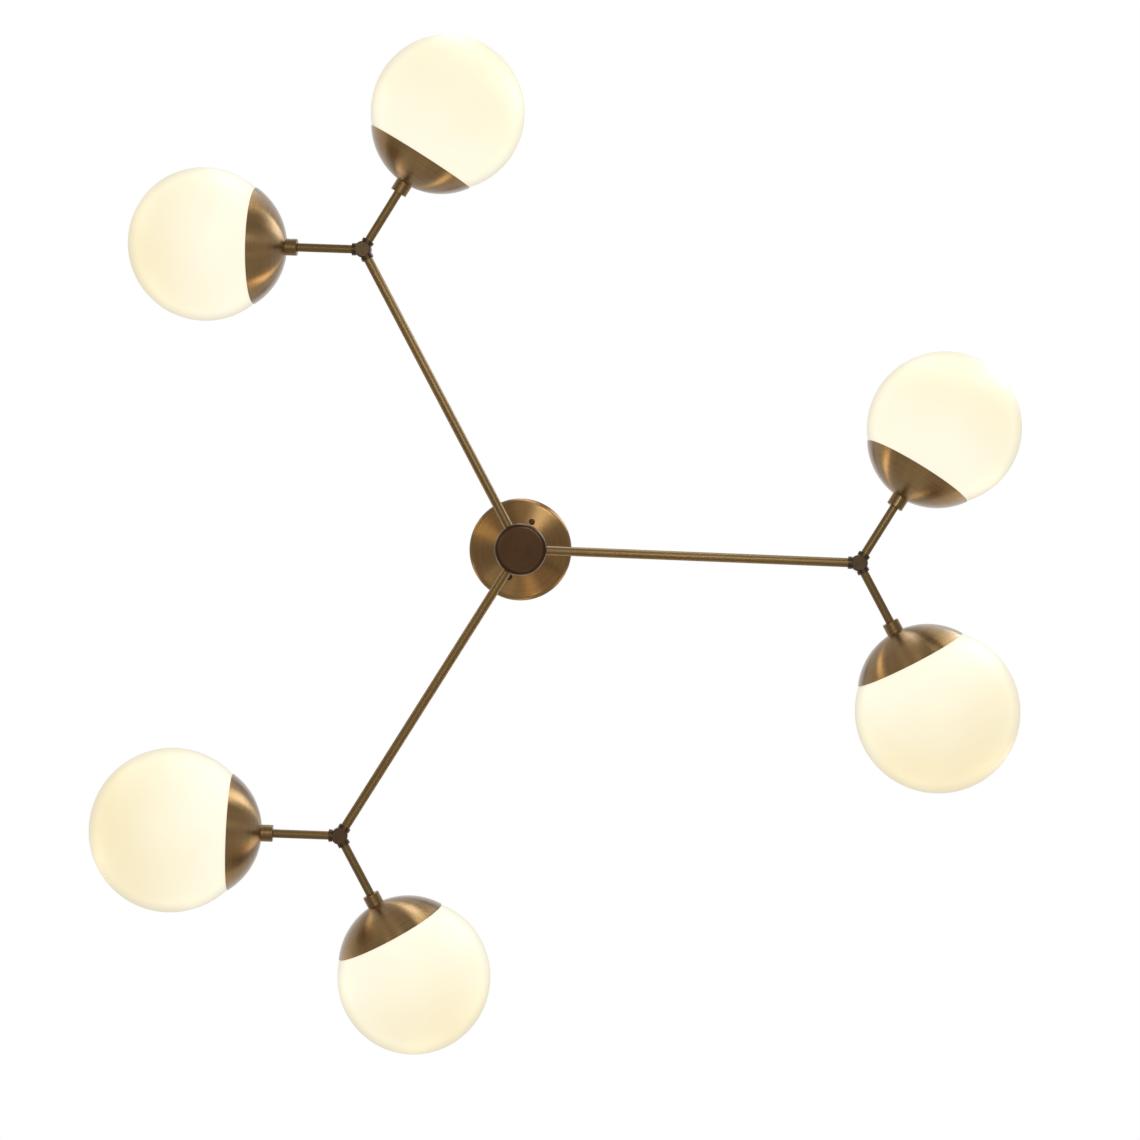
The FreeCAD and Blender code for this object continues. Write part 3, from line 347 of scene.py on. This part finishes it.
def opalGlass(name, globe):
    material, tree, output = freshMaterial(name)
    centre = knuckleCentre(headOf(globe))
    bulb = measured("bulb_%d" % globe, centre, branchLine(globe))
    share = opalLook["lightCentre"]
    bulbMiddle = centre + branchLine(globe) * (bulb["start"] * (1.0 - share) + bulb["end"] * share)
    place = objectPlace(tree)
    shader = tree.nodes.new("ShaderNodeBsdfPrincipled")
    distance = vectorStep(tree, "LENGTH", vectorStep(tree, "SUBTRACT", place, tuple(bulbMiddle)))
    clouds = noiseStep(tree, place, opalLook["cloudScale"], 2.0, 0.5)
    drift = rangeStep(tree, clouds, noiseSpread, opalLook["cloudDrift"])
    near = rangeStep(tree, scalarStep(tree, "ADD", distance, drift), opalLook["reach"], (1.0, 0.0))
    glow = colourMix(tree, near, opalLook["far"], opalLook["near"])
    facing = tree.nodes.new("ShaderNodeLayerWeight").outputs["Facing"]
    edge = rangeStep(tree, facing, opalLook["edgeSpread"], (0.0, opalLook["edgeShare"]))
    feed(tree, shader.inputs["Emission Color"], colourMix(tree, edge, glow, opalLook["rim"]))
    shader.inputs["Emission Strength"].default_value = opalLook["glowStrength"]
    feed(tree, shader.inputs["Base Color"], colourMix(tree, clouds, *opalLook["body"]))
    ripple = noiseStep(tree, place, opalLook["rippleScale"], 1.0, 0.4)
    feed(tree, shader.inputs["Roughness"],
         rangeStep(tree, ripple, noiseSpread, opalLook["roughness"]))
    shader.inputs["IOR"].default_value = opalLook["refraction"]
    shader.inputs["Specular IOR Level"].default_value = opalLook["specular"]
    feed(tree, shader.inputs["Normal"],
         bumpStep(tree, ripple, opalLook["rippleBump"], opalLook["rippleDepth"]))
    tree.links.new(shader.outputs[0], output.inputs["Surface"])
    return material


for globe in globeNumbers:
    paint("globe_%d" % globe, opalGlass("globe%dOpal" % globe, globe))
print("glass done")


# Moulded plastics and black glass: colour, roughness, and grains in a metre.
mouldedLooks = {
    "blackPhenolic": ((0.030, 0.028, 0.026, 1.0), 0.36, 700.0),
    "blackGlass": ((0.020, 0.020, 0.024, 1.0), 0.16, 700.0),
    "whiteNylon": ((0.78, 0.77, 0.72, 1.0), 0.44, 700.0),
    "orangeNylon": ((0.72, 0.20, 0.04, 1.0), 0.40, 700.0),
    "wireJacket": ((0.72, 0.69, 0.60, 1.0), 0.50, 1200.0),
}
mouldedGrain = {
    "cloudShare": 0.06,                       # clouds in the colour, against the grain's scale
    "darkening": 0.82,
    "roughnessStep": (-0.06, 0.08),
    "bump": 0.18,
    "bumpDepth": 0.0001,
}

# Plated steel, nickel and turned brass: colour and roughness.
platedLooks = {
    "zincSteel": ((0.66, 0.66, 0.63, 1.0), 0.30),
    "greenSteel": ((0.10, 0.36, 0.16, 1.0), 0.35),
    "nickelShell": ((0.72, 0.70, 0.66, 1.0), 0.22),
    "socketBrass": ((0.72, 0.52, 0.26, 1.0), 0.28),
}
platedGrain = {
    "mottleScale": 160.0,
    "scratchScales": (40.0, 900.0, 900.0),    # long in one direction
    "darkening": 0.74,
    "roughnessStep": (-0.08, 0.12),
    "bump": 0.12,
    "bumpDepth": 0.0001,
}


def mouldedPlastic(name, colour, roughness, grain):
    material, tree, output = freshMaterial(name)
    shader = tree.nodes.new("ShaderNodeBsdfPrincipled")
    place = objectPlace(tree)
    speckle = noiseStep(tree, place, grain, 3.0, 0.6)
    cloud = noiseStep(tree, place, grain * mouldedGrain["cloudShare"], 3.0, 0.5)
    darker = darkened(colour, mouldedGrain["darkening"])
    feed(tree, shader.inputs["Base Color"], colourMix(tree, cloud, darker, colour))
    roughnessRange = [roughness + step for step in mouldedGrain["roughnessStep"]]
    feed(tree, shader.inputs["Roughness"], rangeStep(tree, speckle, noiseSpread, roughnessRange))
    feed(tree, shader.inputs["Normal"],
         bumpStep(tree, speckle, mouldedGrain["bump"], mouldedGrain["bumpDepth"]))
    tree.links.new(shader.outputs[0], output.inputs["Surface"])
    return material


def platedMetal(name, colour, roughness):
    material, tree, output = freshMaterial(name)
    shader = tree.nodes.new("ShaderNodeBsdfPrincipled")
    place = objectPlace(tree)
    mottle = noiseStep(tree, place, platedGrain["mottleScale"], 5.0, 0.65)
    stretch = tree.nodes.new("ShaderNodeMapping")
    stretch.inputs["Scale"].default_value = platedGrain["scratchScales"]
    feed(tree, stretch.inputs["Vector"], place)
    scratches = noiseStep(tree, stretch.outputs[0], 1.0, 4.0, 0.7)
    darker = darkened(colour, platedGrain["darkening"])
    feed(tree, shader.inputs["Base Color"], colourMix(tree, mottle, darker, colour))
    roughnessRange = [roughness + step for step in platedGrain["roughnessStep"]]
    feed(tree, shader.inputs["Roughness"], rangeStep(tree, scratches, noiseSpread, roughnessRange))
    shader.inputs["Metallic"].default_value = 1.0
    feed(tree, shader.inputs["Normal"],
         bumpStep(tree, scratches, platedGrain["bump"], platedGrain["bumpDepth"]))
    tree.links.new(shader.outputs[0], output.inputs["Surface"])
    return material


finishes = {name: mouldedPlastic(name, *look) for name, look in mouldedLooks.items()}
finishes.update({name: platedMetal(name, *look) for name, look in platedLooks.items()})

for nodeName in ("crossbar", "top_nipple", "bottom_nipple", "lock_nuts", "arm_lock_nuts"):
    paint(nodeName, finishes["zincSteel"])
paint("ground_screw", finishes["greenSteel"])
paint("junction_block", finishes["whiteNylon"])
paint("wire_nuts", finishes["orangeNylon"])
paint("supply_leads", finishes["wireJacket"])
for head in headNumbers:
    paint("head_leads_%d" % head, finishes["wireJacket"])
for globe in globeNumbers:
    paint("globe_bush_%d" % globe, finishes["whiteNylon"])
print("plastics and steel done")


# Turned pieces with real threads. An outline is a list of stretches. Each names the distance
# along the axis and the radius where it ends, its material's number, and its thread's pitch
# and depth.
turning = {
    "steps": 64,                              # points round each ring
    "ringsPerPitch": 8,
    "fadeRings": 6.0,                         # a thread runs out over this many rings
    "domeRings": 10,
    "sharpAngle": 50.0,
}


def plain(along, radius, slot):
    return (along, radius, slot, 0, 0)


def turnedMesh(name, parts, materials):
    steps = turning["steps"]
    points, faces, slots = [], [], []
    for centre, line, outline in parts:
        sideWay = line.orthogonal().normalized()
        otherWay = line.cross(sideWay)
        rings = []
        previous = None
        for along, radius, slot, pitch, depth in outline:
            count = 1
            if pitch:
                pitches = abs(along - previous[0]) / pitch
                count = max(turning["ringsPerPitch"], round(pitches * turning["ringsPerPitch"]))
            for part in range(1, count + 1):
                share = part / count
                here, wide = along, radius
                if previous is not None:
                    here = previous[0] + (along - previous[0]) * share
                    wide = previous[1] + (radius - previous[1]) * share
                fade = min(1.0, min(share, 1.0 - share) * count / turning["fadeRings"])
                ring = []
                for step in range(steps if wide > 1e-7 else 1):
                    angle = 2 * math.pi * step / steps
                    cut = 0.0
                    if pitch:
                        wave = 0.5 - 0.5 * math.cos(2 * math.pi * here / pitch - angle)
                        cut = depth * fade * wave
                    spoke = sideWay * math.cos(angle) + otherWay * math.sin(angle)
                    points.append(centre + line * here + spoke * (wide - cut))
                    ring.append(len(points) - 1)
                rings.append((ring, slot))
            previous = (along, radius)
        for (low, _), (high, slot) in zip(rings, rings[1:]):
            for step in range(steps):
                after = (step + 1) % steps
                if len(low) == 1 and len(high) == 1:
                    break
                if len(low) == 1:
                    face = (low[0], high[after], high[step])
                elif len(high) == 1:
                    face = (low[step], low[after], high[0])
                else:
                    face = (low[step], low[after], high[after], high[step])
                faces.append(face)
                slots.append(slot)
    mesh = bpy.data.meshes.new(name)
    mesh.from_pydata(points, [], faces)
    for material in materials:
        mesh.materials.append(material)
    mesh.polygons.foreach_set("material_index", slots)
    mesh.validate()
    mesh.shade_smooth()
    mesh.set_sharp_from_angle(angle=math.radians(turning["sharpAngle"]))
    thing = bpy.data.objects.new(name, mesh)
    bpy.context.scene.collection.objects.link(thing)
    return thing


def domeOutline(middle, radius, slot):
    count = turning["domeRings"]
    outline = []
    for part in range(1, count + 1):
        lift = math.pi / 2 * part / count
        outline.append(plain(middle + radius * math.sin(lift),
                             radius * math.cos(lift) if part < count else 0.0, slot))
    return outline


# Lampholders: black body with an outside thread for the globe, brass screw shell inside.
holderLook = {
    "footHole": 0.0042,
    "footRadius": 0.0081,
    "footHeight": 0.0036,
    "plainLip": 0.0024,                       # unthreaded ring at the mouth
    "lipRound": 0.0008,
    "threadPitch": 0.0032,
    "threadDepth": 0.0009,
    "shellRadius": 0.0059,
    "shellPitch": 0.00254,
    "shellDepth": -0.0004,                    # the shell's own thread bulges outward
    "shellGap": 0.0012,                       # black rim's edge stands this far off the shell
    "shellFlare": 0.0002,
    "shellMouth": 0.0015,
    "shellStop": 0.0035,                      # shell ends this far above the contact
    "contactFoot": 0.002,
    "contactTop": 0.0018,
    "contactHeight": 0.001,
    "contactPlay": 0.00005,
}


def holderOutline(body, contact):
    look = holderLook
    black, brass = 0, 1
    start, end, radius = body["start"], body["end"], body["radius"]
    shell = look["shellRadius"]
    floorPlace = contact - look["contactHeight"]
    contactPlace = contact - look["contactPlay"]
    return [
        plain(start, look["footHole"], black),
        plain(start, look["footRadius"], black),
        plain(start + look["footHeight"], radius, black),
        (end - look["plainLip"], radius, black, look["threadPitch"], look["threadDepth"]),
        plain(end - look["lipRound"], radius, black),
        plain(end, radius - look["lipRound"], black),
        plain(end, shell + look["shellGap"], black),
        plain(end, shell + look["shellFlare"], brass),
        plain(end - look["shellMouth"], shell, brass),
        (contact + look["shellStop"], shell, brass, look["shellPitch"], look["shellDepth"]),
        plain(floorPlace, shell, black),
        plain(floorPlace, look["contactFoot"], black),
        plain(contactPlace, look["contactTop"], brass),
        plain(contactPlace, 0.0, brass),
    ]


for head in headNumbers:
    centre = knuckleCentre(head)
    holders = []
    for globe in globesOf(head):
        body = measured("lampholders_%d" % head, centre, branchLine(globe), nearOnly=True)
        bulb = measured("bulb_%d" % globe, centre, branchLine(globe))
        holders.append((centre, branchLine(globe), holderOutline(body, bulb["start"])))
    holder = turnedMesh("threadedLampholders_%d" % head, holders,
                        [finishes["blackPhenolic"], finishes["socketBrass"]])
    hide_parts("lampholders_%d" % head)
    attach(holder, "head_%d" % head)
print("lampholders done")


# Bulbs: rope-threaded shell, black glass foot with its contact, white neck, glowing tube.
bulbLook = {
    "contactRadius": 0.0016,
    "contactFoot": 0.0020,
    "contactHeight": 0.0008,
    "footHeight": 0.0026,                     # black glass round the contact
    "footInset": 0.0012,
    "shoulderHeight": 0.0034,
    "shoulderInset": 0.0004,
    "baseLength": 0.020,
    "baseRadius": 0.00585,
    "threadPitch": 0.00254,
    "threadDepth": 0.00055,
    "plainRim": 0.0035,                       # unthreaded end of the shell
    "neckRadius": 0.009,
    "neckLength": 0.009,
    "neckRound": 0.0006,
    "neckLip": 0.0008,
    "neckLipInset": 0.0002,
    "body": ((0.70, 0.69, 0.64, 1.0), (0.76, 0.75, 0.70, 1.0)),
    "glow": ((0.95, 0.83, 0.62, 1.0), (1.0, 0.92, 0.74, 1.0)),
    "glowStrength": 1.5,
    "roughness": (0.30, 0.42),
    "frostScale": 420.0,
}


def bulbTubeGlass():
    material, tree, output = freshMaterial("bulbTubeGlass")
    shader = tree.nodes.new("ShaderNodeBsdfPrincipled")
    frost = noiseStep(tree, objectPlace(tree), bulbLook["frostScale"], 3.0, 0.6)
    feed(tree, shader.inputs["Base Color"], colourMix(tree, frost, *bulbLook["body"]))
    feed(tree, shader.inputs["Emission Color"], colourMix(tree, frost, *bulbLook["glow"]))
    shader.inputs["Emission Strength"].default_value = bulbLook["glowStrength"]
    feed(tree, shader.inputs["Roughness"],
         rangeStep(tree, frost, noiseSpread, bulbLook["roughness"]))
    tree.links.new(shader.outputs[0], output.inputs["Surface"])
    return material


def bulbOutline(body):
    look = bulbLook
    shell, foot, neck, tube = 0, 1, 2, 3
    start, end, wide = body["start"], body["end"], body["radius"]
    base = look["baseRadius"]
    shelf = start + look["baseLength"]
    neckEnd = shelf + look["neckLength"]
    return [
        plain(start, 0.0, shell),
        plain(start, look["contactRadius"], shell),
        plain(start + look["contactHeight"], look["contactFoot"], shell),
        plain(start + look["footHeight"], base - look["footInset"], foot),
        plain(start + look["shoulderHeight"], base - look["shoulderInset"], shell),
        (shelf - look["plainRim"], base, shell, look["threadPitch"], look["threadDepth"]),
        plain(shelf, base, shell),
        plain(shelf, look["neckRadius"] - look["neckRound"], neck),
        plain(shelf + look["neckRound"], look["neckRadius"], neck),
        plain(neckEnd - look["neckLip"], wide - look["neckLipInset"], neck),
        plain(neckEnd, wide - look["neckRound"], neck),
        plain(neckEnd + look["neckRound"], wide, tube),
        plain(end - wide, wide, tube),
    ] + domeOutline(end - wide, wide, tube)


bulbMaterials = [finishes["nickelShell"], finishes["blackGlass"], finishes["whiteNylon"],
                 bulbTubeGlass()]
for globe in globeNumbers:
    centre = knuckleCentre(headOf(globe))
    body = measured("bulb_%d" % globe, centre, branchLine(globe))
    bulb = turnedMesh("slimBulb_%d" % globe, [(centre, branchLine(globe), bulbOutline(body))],
                      bulbMaterials)
    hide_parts("bulb_%d" % globe)
    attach(bulb, "bulb_%d" % globe)
print("bulbs done")


# Pale floor far below, and a room that looks white to the eye, to metal and to glass.
room = {
    "floorHeight": -4.2,
    "floorRadius": 14.0,
    "floorSteps": 96,
    "floorTones": ((0.74, 0.73, 0.71, 1.0), (0.80, 0.79, 0.77, 1.0)),
    "floorGrain": 3.0,
    "floorRoughness": 0.9,
    "floorWhitening": 0.6,
    "background": (1.0, 1.0, 1.0, 1.0),
    "roomGlow": (0.42, 0.415, 0.40, 1.0),
}


def discMesh(name, radius, height, steps):
    angles = [2 * math.pi * step / steps for step in range(steps)]
    ring = [(radius * math.cos(angle), radius * math.sin(angle), height) for angle in angles]
    mesh = bpy.data.meshes.new(name)
    mesh.from_pydata(ring, [], [list(range(steps))])
    thing = bpy.data.objects.new(name, mesh)
    bpy.context.scene.collection.objects.link(thing)
    return thing


def seenWhite(tree):
    path = tree.nodes.new("ShaderNodeLightPath").outputs
    seen = scalarStep(tree, "MAXIMUM", path["Is Camera Ray"], path["Is Transmission Ray"])
    return scalarStep(tree, "MAXIMUM", seen, path["Is Glossy Ray"])


floorMaterial, tree, output = freshMaterial("paleFloor")
floorShade = tree.nodes.new("ShaderNodeBsdfPrincipled")
floorGrain = noiseStep(tree, objectPlace(tree), room["floorGrain"], 4.0, 0.6)
feed(tree, floorShade.inputs["Base Color"], colourMix(tree, floorGrain, *room["floorTones"]))
floorShade.inputs["Roughness"].default_value = room["floorRoughness"]
floorWhite = tree.nodes.new("ShaderNodeEmission")
floorMix = tree.nodes.new("ShaderNodeMixShader")
whitening = scalarStep(tree, "MULTIPLY", seenWhite(tree), room["floorWhitening"])
feed(tree, floorMix.inputs[0], whitening)
tree.links.new(floorShade.outputs[0], floorMix.inputs[1])
tree.links.new(floorWhite.outputs[0], floorMix.inputs[2])
tree.links.new(floorMix.outputs[0], output.inputs["Surface"])
floor = discMesh("floor", room["floorRadius"], room["floorHeight"], room["floorSteps"])
floor.data.materials.append(floorMaterial)

world = bpy.data.worlds.new("studio")
bpy.context.scene.world = world
world.use_nodes = True
tree = world.node_tree
tree.nodes.clear()
output = tree.nodes.new("ShaderNodeOutputWorld")
dim = tree.nodes.new("ShaderNodeBackground")
dim.inputs["Color"].default_value = room["roomGlow"]
white = tree.nodes.new("ShaderNodeBackground")
white.inputs["Color"].default_value = room["background"]
mix = tree.nodes.new("ShaderNodeMixShader")
feed(tree, mix.inputs[0], seenWhite(tree))
tree.links.new(dim.outputs[0], mix.inputs[1])
tree.links.new(white.outputs[0], mix.inputs[2])
tree.links.new(mix.outputs[0], output.inputs["Surface"])


# Camera straight under the stem, looking up.
cameraPlace = {
    "focalPixels": 2500.0,
    "imageSide": 1140.0,
    "sensorWidth": 36.0,
    "belowArms": 2.450,
    "armPlane": -0.508,
    "turn": 67.7,                             # model's +X stands this far up from picture's right
    "stemPixel": (520.5, 549.5),
    "farthest": 100.0,
}
turn = math.radians(cameraPlace["turn"])
right = Vector((math.cos(turn), math.sin(turn), 0.0))
back = Vector((0.0, 0.0, -1.0))
up = back.cross(right)
cameraData = bpy.data.cameras.new("photoCamera")
cameraData.sensor_width = cameraPlace["sensorWidth"]
cameraData.lens = cameraPlace["focalPixels"] / cameraPlace["imageSide"] * cameraData.sensor_width
halfSide = cameraPlace["imageSide"] / 2
cameraData.shift_x = (halfSide - cameraPlace["stemPixel"][0]) / cameraPlace["imageSide"]
cameraData.shift_y = (cameraPlace["stemPixel"][1] - halfSide) / cameraPlace["imageSide"]
cameraData.clip_end = cameraPlace["farthest"]
camera = bpy.data.objects.new("photoCamera", cameraData)
bpy.context.scene.collection.objects.link(camera)
bpy.context.scene.camera = camera
cameraHeight = cameraPlace["armPlane"] - cameraPlace["belowArms"]
cameraTurn = Matrix((right, up, back)).transposed().to_4x4()
camera.matrix_world = Matrix.Translation((0.0, 0.0, cameraHeight)) @ cameraTurn


# Long soft boxes round the light, each from a low end to a high end. An end is given by its
# angle in the picture and its angle above the arms, which is away from the camera.
softBoxes = {
    "reach": 2.4,
    "boxes": {
        # name: (low end, high end, width, power, colour)
        # cream streaks on the caps
        "windowBox": ((52.0, -8.0), (26.0, 44.0), 0.62, 32.0, (0.95, 0.99, 1.0)),
        "upperBox": ((71.0, -10.0), (96.0, 40.0), 0.47, 23.0, (0.97, 0.99, 1.0)),
        # gold streaks on the caps
        "leftBox": ((161.0, -2.0), (141.0, 36.0), 0.30, 9.0, (1.0, 0.80, 0.48)),
        "leftLowBox": ((196.0, 6.0), (216.0, 42.0), 0.30, 9.0, (1.0, 0.80, 0.50)),
        "lowBox": ((283.0, 0.0), (262.0, 38.0), 0.30, 8.0, (1.0, 0.78, 0.46)),
        "rightLowBox": ((313.0, 6.0), (336.0, 42.0), 0.30, 11.0, (1.0, 0.76, 0.44)),
        # wedges on the canopy
        "canopyBox": ((58.0, -64.0), (58.0, -78.0), 0.24, 14.0, (0.97, 0.99, 1.0)),
        "canopyGoldBox": ((152.0, -66.0), (152.0, -76.0), 0.22, 6.0, (1.0, 0.82, 0.52)),
        "canopyLowBox": ((286.0, -66.0), (286.0, -76.0), 0.20, 5.0, (1.0, 0.80, 0.52)),
    },
}
armsMiddle = Vector((0.0, 0.0, cameraPlace["armPlane"]))


def pictureDirection(degrees, above):
    angle, lift = math.radians(degrees), math.radians(above)
    level = right * math.cos(angle) + up * math.sin(angle)
    return level * math.cos(lift) - back * math.sin(lift)


for name, (low, high, width, power, colour) in softBoxes["boxes"].items():
    lowEnd = armsMiddle + pictureDirection(*low) * softBoxes["reach"]
    highEnd = armsMiddle + pictureDirection(*high) * softBoxes["reach"]
    lampData = bpy.data.lights.new(name, "AREA")
    lampData.shape = "RECTANGLE"
    lampData.size = width
    lampData.size_y = (highEnd - lowEnd).length
    lampData.energy = power
    lampData.color = colour
    lamp = bpy.data.objects.new(name, lampData)
    bpy.context.scene.collection.objects.link(lamp)
    middle = (lowEnd + highEnd) / 2
    outOf = (middle - armsMiddle).normalized()          # a lamp shines along its own -Z
    lengthWay = (highEnd - lowEnd).normalized()
    lengthWay = (lengthWay - outOf * lengthWay.dot(outOf)).normalized()
    lampTurn = Matrix((lengthWay.cross(outOf), lengthWay, outOf)).transposed()
    lamp.matrix_world = Matrix.Translation(middle) @ lampTurn.to_4x4()

bpy.context.scene.view_settings.view_transform = "Standard"
print("room, camera and lamps done")
